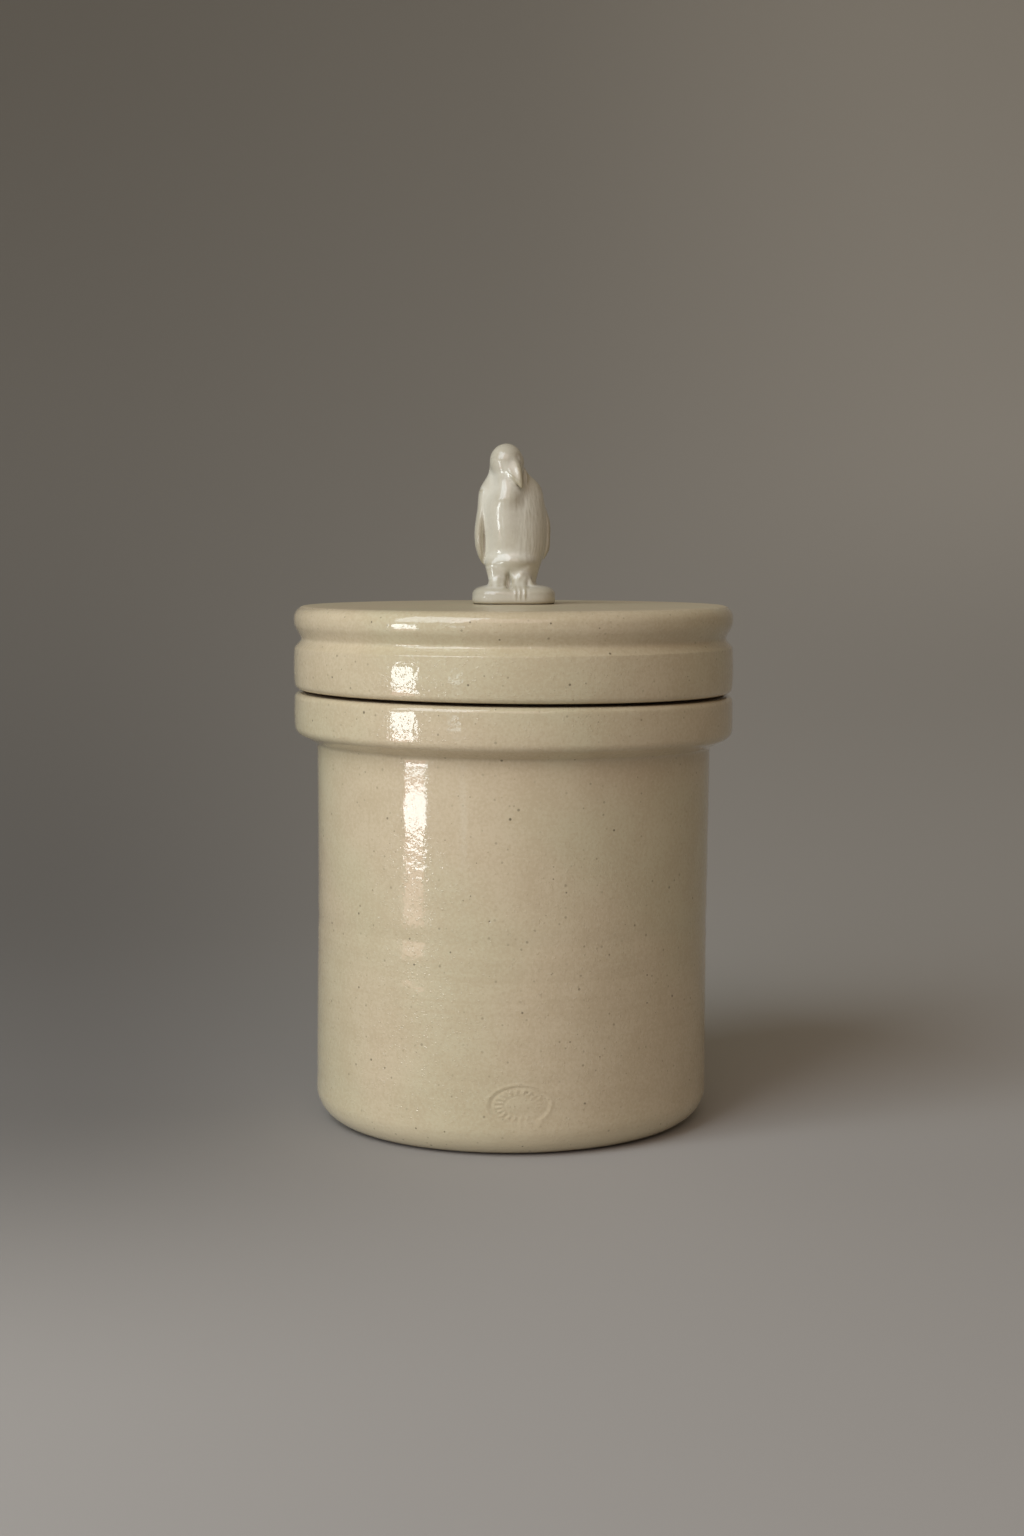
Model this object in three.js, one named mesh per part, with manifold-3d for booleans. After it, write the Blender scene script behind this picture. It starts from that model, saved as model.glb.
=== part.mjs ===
// Stoneware storage jar with a thick lid, lifted by a small porcelain penguin.
// Millimetres, +Z up. The origin is the middle of the foot, on the table, and the penguin faces -Y.
import * as THREE from 'three';
import { mergeVertices } from 'three/addons/utils/BufferGeometryUtils.js';
import Module from 'manifold-3d';

// Jar: a thrown straight-sided pot with a heavy collar at its mouth.
const BODY_DIAMETER = 134.4; // at the foot and just under the collar
const WAIST_DRAW = 0.5; // how far the wall is drawn in half way up, on the radius
const NECK_HEIGHT = 128.6; // where the wall turns out into the collar
const HEEL_ROUND = 10.4; // round edge between wall and foot
const WALL = 7.7;
const FLOOR_THICKNESS = 9;
const FLOOR_ROUND = 9; // round corner inside, between floor and wall
const COLLAR_STAND = 7.5; // how far the collar stands out from the wall
const COLLAR_SLOPE = 3.9; // rise of its sloping underside
const COLLAR_BAND = 14; // its upright band, up to the rim
const NECK_COVE = 1.6; // hollow round under the collar
const COLLAR_ROUND = 3; // lower edge of the band
const RIM_ROUND = 2.2; // outer edge of the rim
const MOUTH_ROUND = 1.5; // inner edge of the rim

// Lid: a thick turned cap, hollow below, with a finger groove all round and a flange in the mouth.
const LID_STAND = 0.3; // how far the lid stands out past the collar
const SEAT_GAP = 0.3; // the dry seat's uneven contact with the rim
const MOUTH_CLEARANCE = 1.5; // round the flange, in the mouth
const FLANGE_DEPTH = 7; // how far the flange reaches down
const FLANGE_THICKNESS = 5;
const FLANGE_ROUND = 1.4;
const SEAT_MARGIN = 3.4; // from the seat's edge out to the lid's edge, where glaze must stay off the rim
const SEAT_RELIEF = 0.5; // how much higher that margin lies
const SKIRT_HEIGHT = 14; // plain band below the groove
const SKIRT_ROUND = 1.3; // its lower edge
const GROOVE_DEPTH = 2.8;
const GROOVE_SLOPE = 3.9; // height from the band's crisp upper edge to the bottom of the groove
const GROOVE_ROUND = 1.8;
const BEAD_SLOPE = 5.2; // height from the bottom of the groove to the bead's upright face
const BEAD_BAND = 5.7; // upright face, up to the flat top
const BEAD_SOFTENING = 6; // where the slope runs into the upright face
const TOP_ROUND = 3.2; // edge of the flat top
const LID_TOP_THICKNESS = 9;
const LID_HOLLOW_ROUND = 8;

// Bed: the thin layer of setting paste that holds the penguin on the lid.
const BED_THICKNESS = 0.5;
const BED_INSET = 0.8; // its edge lies this far inside the plinth's edge

// Penguin: a slip-cast figure on its own oval plinth.
const PLINTH_WIDTH = 28.4;
const PLINTH_DEPTH = 25;
const PLINTH_HEIGHT = 5.4;
const PLINTH_CROWN = 0.6; // rise of its top towards the middle
const PLINTH_ROUND = 2.6;
const PLINTH_ARRIS = 0.7; // its lower edge
const TRUNK_HEIGHT = 41.6; // from the plinth to the root of the neck
const BELLY_WIDTH = 22.6;
const BELLY_DEPTH = 20.4;
const HEAD_WIDTH = 11.4;
const HEAD_HEIGHT = 12.4;
const HEAD_LENGTH = 13;
const HEAD_SHIFT = -1.9; // the head leans to the bird's right
const HEAD_TURN = 32; // degrees, towards +X
const HEAD_BOW = 36; // degrees, down
const BILL_LENGTH = 8.8;
const BILL_WIDTH = 4.8;
const BILL_HEIGHT = 5.4;
const FLIPPER_LENGTH = 26;
const FLIPPER_WIDTH = 8.4;
const FLIPPER_THICKNESS = 3.4;
const LEG_HEIGHT = 9.5;
const LEG_WIDTH = 6.8;
const LEG_GAP = 2; // between the legs
const FOOT_LENGTH = 9.6;
const FOOT_WIDTH = 6.6;
const FOOT_HEIGHT = 4.4;
const TOE_THICKNESS = 2.4;
const TAIL_LENGTH = 10;
const TAIL_WIDTH = 7;
const TAIL_THICKNESS = 4;

// Fineness of the surfaces.
const TURNED_SIDES = 60;
const ARC_ERROR = 0.08; // how far a facet may cut inside a rounded corner

const wasm = await Module();
wasm.setup();

const bodyRadius = BODY_DIAMETER / 2;
const mouthRadius = bodyRadius - WALL;
const collarRadius = bodyRadius + COLLAR_STAND;
const jarHeight = NECK_HEIGHT + COLLAR_SLOPE + COLLAR_BAND;
const lidRadius = collarRadius + LID_STAND;
const grooveHeight = SKIRT_HEIGHT + GROOVE_SLOPE;
const lidHeight = grooveHeight + BEAD_SLOPE + BEAD_BAND;

// Turns corners, each [radius, height, rounding], into an outline whose corners are true arcs.
// A rounding is limited by the shorter of the two lengths that meet at its corner.
function outline(corners) {
  const at = corners.map(([radius, height]) => new THREE.Vector2(radius, height));
  const points = [];
  corners.forEach(([, , rounding = 0], i) => {
    if (!rounding) {
      points.push(at[i]);
      return;
    }
    const back = at[i - 1].clone().sub(at[i]);
    const ahead = at[i + 1].clone().sub(at[i]);
    const longest = 0.49 * Math.min(back.length(), ahead.length());
    back.normalize();
    ahead.normalize();
    const half = back.angleTo(ahead) / 2;
    const reach = Math.min(rounding / Math.tan(half), longest);
    const radius = reach * Math.tan(half);
    const towardCentre = back.clone().add(ahead).normalize();
    const centre = at[i].clone().addScaledVector(towardCentre, radius / Math.sin(half));
    const spoke = at[i].clone().addScaledVector(back, reach).sub(centre);
    const turn = Math.PI - 2 * half;
    const way = Math.sign(back.cross(ahead));
    const widest = 2 * Math.acos(Math.max(0, 1 - ARC_ERROR / radius));
    const steps = Math.max(2, Math.ceil(turn / widest));
    for (let k = 0; k <= steps; k += 1) {
      const angle = (-way * turn * k) / steps;
      points.push(spoke.clone().rotateAround(new THREE.Vector2(), angle).add(centre));
    }
  });
  return points;
}

// Revolves an outline about the Z axis.
function turned(corners, sides = TURNED_SIDES) {
  return new THREE.LatheGeometry(outline(corners), sides).rotateX(Math.PI / 2);
}

// Skins a limb or trunk: oval sections follow a smooth line through the stations.
// Each station is { at, width, depth }, and its width lies as near the X axis as it can.
function skin(stations, around, steps) {
  const line = new THREE.CatmullRomCurve3(stations.map((s) => new THREE.Vector3(...s.at)));
  const sizes = new THREE.SplineCurve(stations.map((s) => new THREE.Vector2(s.width, s.depth)));
  const positions = [];
  const faces = [];
  for (let ring = 0; ring <= steps; ring += 1) {
    const t = ring / steps;
    const centre = line.getPoint(t);
    const along = line.getTangent(t);
    const size = sizes.getPoint(t);
    const across = new THREE.Vector3(1, 0, 0).addScaledVector(along, -along.x).normalize();
    const through = new THREE.Vector3().crossVectors(along, across);
    for (let k = 0; k < around; k += 1) {
      const angle = (2 * Math.PI * k) / around;
      const point = centre
        .clone()
        .addScaledVector(across, (size.x / 2) * Math.cos(angle))
        .addScaledVector(through, (size.y / 2) * Math.sin(angle));
      positions.push(point.x, point.y, point.z);
    }
  }
  for (let ring = 0; ring < steps; ring += 1) {
    for (let k = 0; k < around; k += 1) {
      const a = ring * around + k;
      const b = ring * around + ((k + 1) % around);
      faces.push(a, b, b + around, a, b + around, a + around);
    }
  }
  const first = positions.length / 3;
  const start = line.getPoint(0);
  const end = line.getPoint(1);
  positions.push(start.x, start.y, start.z, end.x, end.y, end.z);
  for (let k = 0; k < around; k += 1) {
    const next = (k + 1) % around;
    faces.push(first, next, k);
    faces.push(first + 1, steps * around + k, steps * around + next);
  }
  const geometry = new THREE.BufferGeometry();
  geometry.setAttribute('position', new THREE.Float32BufferAttribute(positions, 3));
  geometry.setIndex(faces);
  return geometry;
}

// An egg shape of the given width, length and height.
function egg(width, length, height, around = 24, tall = 16) {
  return new THREE.SphereGeometry(0.5, around, tall).rotateX(Math.PI / 2).scale(width, length, height);
}

// A closed geometry as a solid that can be joined to others.
function solidOf(geometry) {
  const bare = new THREE.BufferGeometry();
  bare.setAttribute('position', geometry.getAttribute('position'));
  bare.setIndex(geometry.getIndex());
  const merged = mergeVertices(bare, 1e-4);
  return new wasm.Manifold(
    new wasm.Mesh({
      numProp: 3,
      vertProperties: merged.getAttribute('position').array,
      triVerts: new Uint32Array(merged.getIndex().array),
    }),
  );
}

// Joins closed geometries into one.
function joined(geometries) {
  const whole = geometries.map(solidOf).reduce((sum, next) => sum.add(next));
  const mesh = whole.getMesh();
  const geometry = new THREE.BufferGeometry();
  geometry.setAttribute('position', new THREE.BufferAttribute(mesh.vertProperties, 3));
  geometry.setIndex(new THREE.BufferAttribute(mesh.triVerts, 1));
  return geometry;
}

// One sub-part: a named mesh with its own material.
function piece(name, geometry, material) {
  geometry.computeVertexNormals();
  const mesh = new THREE.Mesh(geometry, new THREE.MeshStandardMaterial(material));
  mesh.name = name;
  return mesh;
}

function jarBody() {
  const wallMiddle = (HEEL_ROUND + NECK_HEIGHT) / 2;
  const slopeTop = NECK_HEIGHT + COLLAR_SLOPE;
  return turned([
    [0, 0],
    [bodyRadius, 0, HEEL_ROUND],
    [bodyRadius - WAIST_DRAW, wallMiddle],
    [bodyRadius, NECK_HEIGHT, NECK_COVE],
    [collarRadius, slopeTop, COLLAR_ROUND],
    [collarRadius, jarHeight, RIM_ROUND],
    [mouthRadius, jarHeight, MOUTH_ROUND],
    [mouthRadius, FLOOR_THICKNESS, FLOOR_ROUND],
    [0, FLOOR_THICKNESS],
  ]);
}

// The lid's own zero height is its seat on the rim.
function lidCap() {
  const flangeRadius = mouthRadius - MOUTH_CLEARANCE;
  const hollowRadius = flangeRadius - FLANGE_THICKNESS;
  const seatEdge = lidRadius - SEAT_MARGIN;
  const hollowTop = lidHeight - LID_TOP_THICKNESS;
  const beadHeight = grooveHeight + BEAD_SLOPE;
  return turned([
    [0, hollowTop],
    [hollowRadius, hollowTop, LID_HOLLOW_ROUND],
    [hollowRadius, -FLANGE_DEPTH, FLANGE_ROUND],
    [flangeRadius, -FLANGE_DEPTH, FLANGE_ROUND],
    [flangeRadius, 0],
    [seatEdge, 0],
    [seatEdge + SEAT_RELIEF, SEAT_RELIEF],
    [lidRadius, SEAT_RELIEF, SKIRT_ROUND],
    [lidRadius, SKIRT_HEIGHT],
    [lidRadius - GROOVE_DEPTH, grooveHeight, GROOVE_ROUND],
    [lidRadius, beadHeight, BEAD_SOFTENING],
    [lidRadius, lidHeight, TOP_ROUND],
    [0, lidHeight],
  ]);
}

function settingBed() {
  const radius = PLINTH_WIDTH / 2 - BED_INSET;
  const depth = PLINTH_DEPTH / 2 - BED_INSET;
  const corners = [[0, 0], [radius, 0], [radius, BED_THICKNESS], [0, BED_THICKNESS]];
  return turned(corners, 40).scale(1, depth / radius, 1);
}

function plinth() {
  const radius = PLINTH_WIDTH / 2;
  const corners = [
    [0, 0],
    [radius, 0, PLINTH_ARRIS],
    [radius, PLINTH_HEIGHT, PLINTH_ROUND],
    [0, PLINTH_HEIGHT + PLINTH_CROWN],
  ];
  return turned(corners, 40).scale(1, PLINTH_DEPTH / PLINTH_WIDTH, 1);
}

// How far the figure leans to one side at a share of the trunk's height.
function lean(height) {
  return HEAD_SHIFT * (0.3 + 0.7 * Math.max(0, height) ** 4);
}

// The trunk from plinth to neck: [height, width, depth, back], as shares of its own sizes.
function trunk() {
  const shape = [
    [-0.03, 0.56, 0.42, 0.14],
    [0.08, 0.66, 0.56, 0.1],
    [0.18, 0.84, 0.8, 0.03],
    [0.3, 0.96, 0.97, -0.02],
    [0.44, 1, 1, -0.03],
    [0.6, 0.98, 0.94, 0],
    [0.74, 0.91, 0.84, 0.02],
    [0.84, 0.82, 0.74, 0.04],
    [0.91, 0.66, 0.62, 0.05],
    [1.0, 0.48, 0.5, 0.03],
  ];
  const stations = shape.map(([height, width, depth, back]) => ({
    at: [lean(height), back * BELLY_DEPTH, PLINTH_HEIGHT + height * TRUNK_HEIGHT],
    width: width * BELLY_WIDTH,
    depth: depth * BELLY_DEPTH,
  }));
  return skin(stations, 30, 27);
}

// Head and bill are made looking along -Y, then bowed and turned together.
function headAndBill() {
  const billStation = (forward, droop, width, height) => ({
    at: [0, -0.3 * HEAD_LENGTH - forward * BILL_LENGTH, -droop * BILL_HEIGHT],
    width: width * BILL_WIDTH,
    depth: height * BILL_HEIGHT,
  });
  const bill = skin(
    [
      billStation(0, 0, 1.3, 1.2),
      billStation(0.35, 0, 1, 1),
      billStation(0.75, 0.12, 0.7, 0.6),
      billStation(1, 0.36, 0.22, 0.2),
    ],
    14,
    9,
  );
  return [egg(HEAD_WIDTH, HEAD_LENGTH, HEAD_HEIGHT, 28, 20), bill].map((shape) =>
    shape
      .rotateX(THREE.MathUtils.degToRad(HEAD_BOW))
      .rotateZ(THREE.MathUtils.degToRad(HEAD_TURN))
      .translate(HEAD_SHIFT, 0, PLINTH_HEIGHT + TRUNK_HEIGHT + 0.1 * HEAD_HEIGHT),
  );
}

// A flipper hangs from the shoulder along the side of the belly. side is -1 or 1.
function flipper(side) {
  const shoulder = 0.84;
  const station = (outward, back, down, thickness, width) => {
    const height = shoulder - (down * FLIPPER_LENGTH) / TRUNK_HEIGHT;
    const out = lean(height) + (side * outward * BELLY_WIDTH) / 2;
    return {
      at: [out, back * BELLY_DEPTH, PLINTH_HEIGHT + height * TRUNK_HEIGHT],
      width: thickness * FLIPPER_THICKNESS,
      depth: width * FLIPPER_WIDTH,
    };
  };
  return skin(
    [
      station(0.66, 0.04, -0.04, 0.7, 0.4),
      station(0.86, 0.04, 0.14, 1, 0.8),
      station(0.98, 0.04, 0.42, 1, 1),
      station(1.0, 0.05, 0.7, 0.85, 0.86),
      station(0.92, 0.07, 0.92, 0.6, 0.5),
      station(0.86, 0.08, 1, 0.25, 0.16),
    ],
    16,
    15,
  );
}

// A short leg with a three-toed foot, standing on the plinth.
function leg(side) {
  const middle = lean(0) + (side * (LEG_WIDTH + LEG_GAP)) / 2;
  const shinStation = (back, height, depth) => ({
    at: [middle, back * BELLY_DEPTH, PLINTH_HEIGHT + height],
    width: LEG_WIDTH,
    depth: depth * BELLY_DEPTH,
  });
  const shin = skin(
    [
      shinStation(0, LEG_HEIGHT, 0.62),
      shinStation(-0.12, 0.5 * LEG_HEIGHT, 0.46),
      shinStation(-0.16, -PLINTH_CROWN, 0.42),
    ],
    16,
    5,
  );
  const heel = -0.1 * BELLY_DEPTH;
  const instep = heel - 0.4 * FOOT_LENGTH;
  const pad = egg(FOOT_WIDTH, FOOT_LENGTH * 0.8, FOOT_HEIGHT, 16, 10);
  pad.translate(middle, instep, PLINTH_HEIGHT + 0.1 * FOOT_HEIGHT);
  const toes = [-1, 0, 1].map((which) => {
    const spread = which * 0.34 * FOOT_WIDTH;
    const tip = heel - (0.92 - 0.06 * Math.abs(which)) * FOOT_LENGTH;
    const toeStation = (fan, forward, height, thickness) => ({
      at: [middle + fan * spread, forward, PLINTH_HEIGHT + height * TOE_THICKNESS],
      width: thickness * TOE_THICKNESS,
      depth: thickness * TOE_THICKNESS,
    });
    return skin(
      [
        toeStation(0.6, instep, 0.3, 1),
        toeStation(1, (instep + tip) / 2, 0.3, 1),
        toeStation(1.15, tip, -0.1, 0.4),
      ],
      10,
      5,
    );
  });
  return [shin, pad, ...toes];
}

// The tail props the bird from behind and ends on the plinth.
function tail() {
  const root = PLINTH_HEIGHT + TAIL_LENGTH;
  const station = (back, height, width, thickness) => ({
    at: [lean(0), back * BELLY_DEPTH, height],
    width: width * TAIL_WIDTH,
    depth: thickness * TAIL_THICKNESS,
  });
  return skin(
    [
      station(0.27, root, 0.7, 1),
      station(0.35, root - 0.45 * TAIL_LENGTH, 1, 1),
      station(0.39, PLINTH_HEIGHT - PLINTH_CROWN, 0.7, 0.7),
    ],
    14,
    6,
  );
}

function penguin() {
  const limbs = [-1, 1].flatMap((side) => [flipper(side), ...leg(side)]);
  return joined([plinth(), trunk(), ...headAndBill(), ...limbs, tail()]);
}

const stoneware = { color: 0xcbb98f, roughness: 0.28, metalness: 0 };
const paste = { color: 0x6b5b45, roughness: 0.8, metalness: 0 };
const porcelain = { color: 0xd2ccb8, roughness: 0.2, metalness: 0 };

const figure = piece('penguin_finial', penguin(), porcelain);
figure.position.z = BED_THICKNESS;

const knob = new THREE.Group();
knob.add(piece('setting_bed', settingBed(), paste), figure);
knob.position.z = lidHeight;

const liftingPart = new THREE.Group();
liftingPart.add(piece('lid', lidCap(), stoneware), knob);
liftingPart.position.z = jarHeight + SEAT_GAP;

const jar = new THREE.Group();
jar.add(piece('jar_body', jarBody(), stoneware), liftingPart);

export default jar;
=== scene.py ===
from math import atan2, cos, pi, radians, sin, tan

import bpy
import numpy as np
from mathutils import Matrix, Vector, noise


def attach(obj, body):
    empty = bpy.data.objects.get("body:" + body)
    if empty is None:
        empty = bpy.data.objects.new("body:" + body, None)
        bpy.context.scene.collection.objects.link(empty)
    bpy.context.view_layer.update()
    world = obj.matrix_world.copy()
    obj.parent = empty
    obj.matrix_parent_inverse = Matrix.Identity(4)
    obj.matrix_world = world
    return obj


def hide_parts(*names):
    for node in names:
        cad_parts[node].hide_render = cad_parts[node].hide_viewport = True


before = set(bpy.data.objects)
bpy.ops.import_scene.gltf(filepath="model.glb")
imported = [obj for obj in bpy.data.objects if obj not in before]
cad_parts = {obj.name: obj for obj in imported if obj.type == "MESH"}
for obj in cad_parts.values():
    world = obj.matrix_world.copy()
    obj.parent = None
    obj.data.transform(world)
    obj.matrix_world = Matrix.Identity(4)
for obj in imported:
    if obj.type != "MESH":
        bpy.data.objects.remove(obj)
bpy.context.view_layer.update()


# The jar: a thick pot thrown in buff stoneware. Its mouth is thickened into a heavy collar and its heel is
# rounded over. Everything round on it is one outline thrown on the wheel, a little out of true, and the whole
# is glazed but for the foot and the flat of the rim, which the potter wiped clean.

# [radius, height, rounding] in metres, from the middle of the foot up the outside and down the inside
JAR_OUTLINE = [
    (0, 0, 0),
    (0.0675, 0, 0.0104),
    (0.0668, 0.0695, 0.03),
    (0.0672, 0.1286, 0.0016),
    (0.0747, 0.1323, 0.0034),
    (0.0749, 0.1390, 0.04),
    (0.0747, 0.1457, 0.0020),
    (0.0595, 0.1461, 0.0015),
    (0.0595, 0.009, 0.009),
    (0, 0.009, 0),
]
ARC_STEP = 0.0005
MOST_ARC_STEPS = 24
SAME_PLACE = 1e-7
FINE_STEP = 0.00036
COARSE_STEP = 0.0024
INSIDE_STEP = 0.006
INNER_WALL = 0.0597
OUTER_WALL = 0.062

# how far wheel and hand are out of true, under the names of the thrown form's sockets
JAR_HANDWORK = {
    "Sides": 480,
    "Front Crowding": 0.6,
    "Wobble": 0.00022,
    "Wobble Size": 0.055,
    "Ring Depth": 0.00007,
    "Ring Pitch": 0.006,
    "Body Lean": 0.0092,
    "Lean Below": 0.12,
    "Rim Tilt": tan(radians(0.6)),
    "Hand Seed": 3.0,
}
WOBBLE_REACH = 0.07
STILL_MIDDLE = 0.04
RING_SLANT = 0.0006
RINGED_RADII = (0.05, 0.06)
SEAM_WELD = 1e-5

# bands of height: nothing below the first, full between the middle two, and gone above the last, but for
# the rings, which a rib smoothed under the collar and in part above it
SMOOTHED_BAND = (0.085, 0.103, 0.127, 0.131)
SMOOTHED_ABOVE = 0.4
TILTED_BAND = (0.11, 0.13, 0.149, 0.161)
WIPED_BAND = (0.02, 0.045, 0.055, 0.08)
CALM_BAND = (0.094, 0.112, 0.127, 0.132)


def rounded(corners):
    """The outline with a true arc at each rounded corner."""
    points = []
    for k, (radius, height, rounding) in enumerate(corners):
        here = np.array([radius, height], float)
        if not rounding or k in (0, len(corners) - 1):
            points.append(here)
            continue
        before = np.array(corners[k - 1][:2], float) - here
        after = np.array(corners[k + 1][:2], float) - here
        before, after = before / np.linalg.norm(before), after / np.linalg.norm(after)
        half = np.arccos(np.clip(before @ after, -1, 1)) / 2
        middle = here + (before + after) / np.linalg.norm(before + after) * rounding / np.sin(half)
        start, end = here + before * rounding / np.tan(half), here + after * rounding / np.tan(half)
        first = atan2(*(start - middle)[::-1])
        swing = (atan2(*(end - middle)[::-1]) - first + pi) % (2 * pi) - pi
        steps = max(3, int(np.ceil(abs(swing) * rounding / ARC_STEP)))
        for t in np.linspace(0, 1, min(steps, MOST_ARC_STEPS) + 1):
            turned = first + swing * t
            points.append(middle + rounding * np.array([cos(turned), sin(turned)]))
    return points


def filled(points, step_at):
    """The outline with its long runs divided into steps of the length that step_at gives at each place."""
    out = [points[0]]
    for end in points[1:]:
        while np.linalg.norm(end - out[-1]) > 1.5 * step_at(*out[-1]):
            way = end - out[-1]
            out.append(out[-1] + way / np.linalg.norm(way) * step_at(*out[-1]))
        if np.linalg.norm(end - out[-1]) > SAME_PLACE:
            out.append(end)
    return out


def mark(mesh, name, values):
    """A value for each point of the mesh, which its material reads by that name."""
    mesh.attributes.new(name, "FLOAT", "POINT").data.foreach_set("value", np.array(values, np.float32))


def outline_mesh(name, points, bare):
    """A chain of edges in the XZ plane, with how bare of glaze each point is."""
    mesh = bpy.data.meshes.new(name)
    mesh.from_pydata([(r, 0, z) for r, z in points], [(k, k + 1) for k in range(len(points) - 1)], [])
    mark(mesh, "bare", [bare(r, z) for r, z in points])
    return mesh


def put(tree, kind, label="", **settings):
    """A new node in the tree, with its label and its settings."""
    node = tree.nodes.new(kind)
    node.label = label
    node.location = (len(tree.nodes) % 10 * 190, len(tree.nodes) // 10 * -280)
    for key, value in settings.items():
        setattr(node, key, value)
    return node


def feed(tree, node, inputs):
    """The node's inputs, by name or number: another node's output is linked and anything else is a value."""
    for key, value in inputs.items():
        if isinstance(value, bpy.types.NodeSocket):
            tree.links.new(value, node.inputs[key])
        else:
            node.inputs[key].default_value = value
    return node


def calc(tree, operation, *values, **settings):
    """The output of a math node that works on the values, which are numbers or other nodes' outputs."""
    node = put(tree, "ShaderNodeMath", operation=operation, **settings)
    return feed(tree, node, dict(enumerate(values))).outputs[0]


def ease(tree, value, low, high, start=0.0, end=1.0):
    """The value turned into start at low and end at high, with a soft step between."""
    node = put(tree, "ShaderNodeMapRange", interpolation_type="SMOOTHSTEP")
    inputs = {"Value": value, "From Min": low, "From Max": high, "To Min": start, "To Max": end}
    return feed(tree, node, inputs).outputs["Result"]


def band(tree, value, edges, above=0.0):
    """Nothing below the first of four edges, one between the middle two, and above over the last."""
    low, full, fading, gone = edges
    return calc(tree, "MULTIPLY", ease(tree, value, low, full), ease(tree, value, fading, gone, 1.0, above))


def swung(tree, texture, depth):
    """A noise as a distance to either side: it keeps to the middle half of its range, hence the four."""
    return calc(tree, "MULTIPLY", calc(tree, "SUBTRACT", texture, 0.5), calc(tree, "MULTIPLY", depth, 4.0))


def sheet_of_rows(tree, given):
    """A sheet with one row to each point of the outline, and each of its points' column and row."""
    count = put(tree, "GeometryNodeAttributeDomainSize", "rows", component="MESH")
    rows = feed(tree, count, {"Geometry": given["Outline"]}).outputs["Point Count"]
    columns = feed(tree, put(tree, "FunctionNodeIntegerMath"), {0: given["Sides"], 1: 1}).outputs[0]
    sheet = feed(tree, put(tree, "GeometryNodeMeshGrid"), {"Vertices X": columns, "Vertices Y": rows})
    index = put(tree, "GeometryNodeInputIndex").outputs[0]
    split = put(tree, "FunctionNodeIntegerMath", "column", operation="DIVIDE_FLOOR")
    column = feed(tree, split, {0: index, 1: rows}).outputs[0]
    rest = put(tree, "FunctionNodeIntegerMath", "row", operation="MODULO")
    row = feed(tree, rest, {0: index, 1: rows}).outputs[0]
    return sheet.outputs["Mesh"], column, row


def off_outline(tree, given, row, value, kind):
    """What the outline's point holds, read for the row that it became."""
    read = put(tree, "GeometryNodeSampleIndex", "off the outline", data_type=kind, domain="POINT")
    return feed(tree, read, {"Geometry": given["Outline"], "Value": value, "Index": row}).outputs[0]


def off_true(tree, given, radius, height, across, ahead):
    """How far the wall stands out of true: the hand's slow wobble, and the rings that its fingers left."""
    reach = [calc(tree, "MULTIPLY", way, WOBBLE_REACH) for way in (across, ahead)]
    spot = feed(tree, put(tree, "ShaderNodeCombineXYZ"), {0: reach[0], 1: reach[1], 2: height}).outputs[0]
    texture = put(tree, "ShaderNodeTexNoise", "wobble", noise_dimensions="4D")
    scale = calc(tree, "DIVIDE", 1.0, given["Wobble Size"])
    inputs = {"Vector": spot, "W": given["Hand Seed"], "Scale": scale, "Detail": 2.0}
    drift = swung(tree, feed(tree, texture, inputs).outputs[0], given["Wobble"])
    drift = calc(tree, "MULTIPLY", drift, calc(tree, "DIVIDE", radius, STILL_MIDDLE, use_clamp=True))

    climb = calc(tree, "ADD", height, calc(tree, "MULTIPLY", across, RING_SLANT))
    climb = calc(tree, "ADD", calc(tree, "DIVIDE", climb, given["Ring Pitch"]), given["Hand Seed"])
    texture = put(tree, "ShaderNodeTexNoise", "throwing rings", noise_dimensions="1D")
    ring = feed(tree, texture, {"W": climb, "Scale": 1.0, "Detail": 1.0}).outputs[0]
    ring = swung(tree, ring, given["Ring Depth"])
    ring = calc(tree, "MULTIPLY", ring, ease(tree, radius, *RINGED_RADII))
    smoothed = band(tree, height, SMOOTHED_BAND, SMOOTHED_ABOVE)
    ring = calc(tree, "MULTIPLY", ring, calc(tree, "SUBTRACT", 1.0, smoothed))
    return calc(tree, "ADD", drift, ring)


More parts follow.
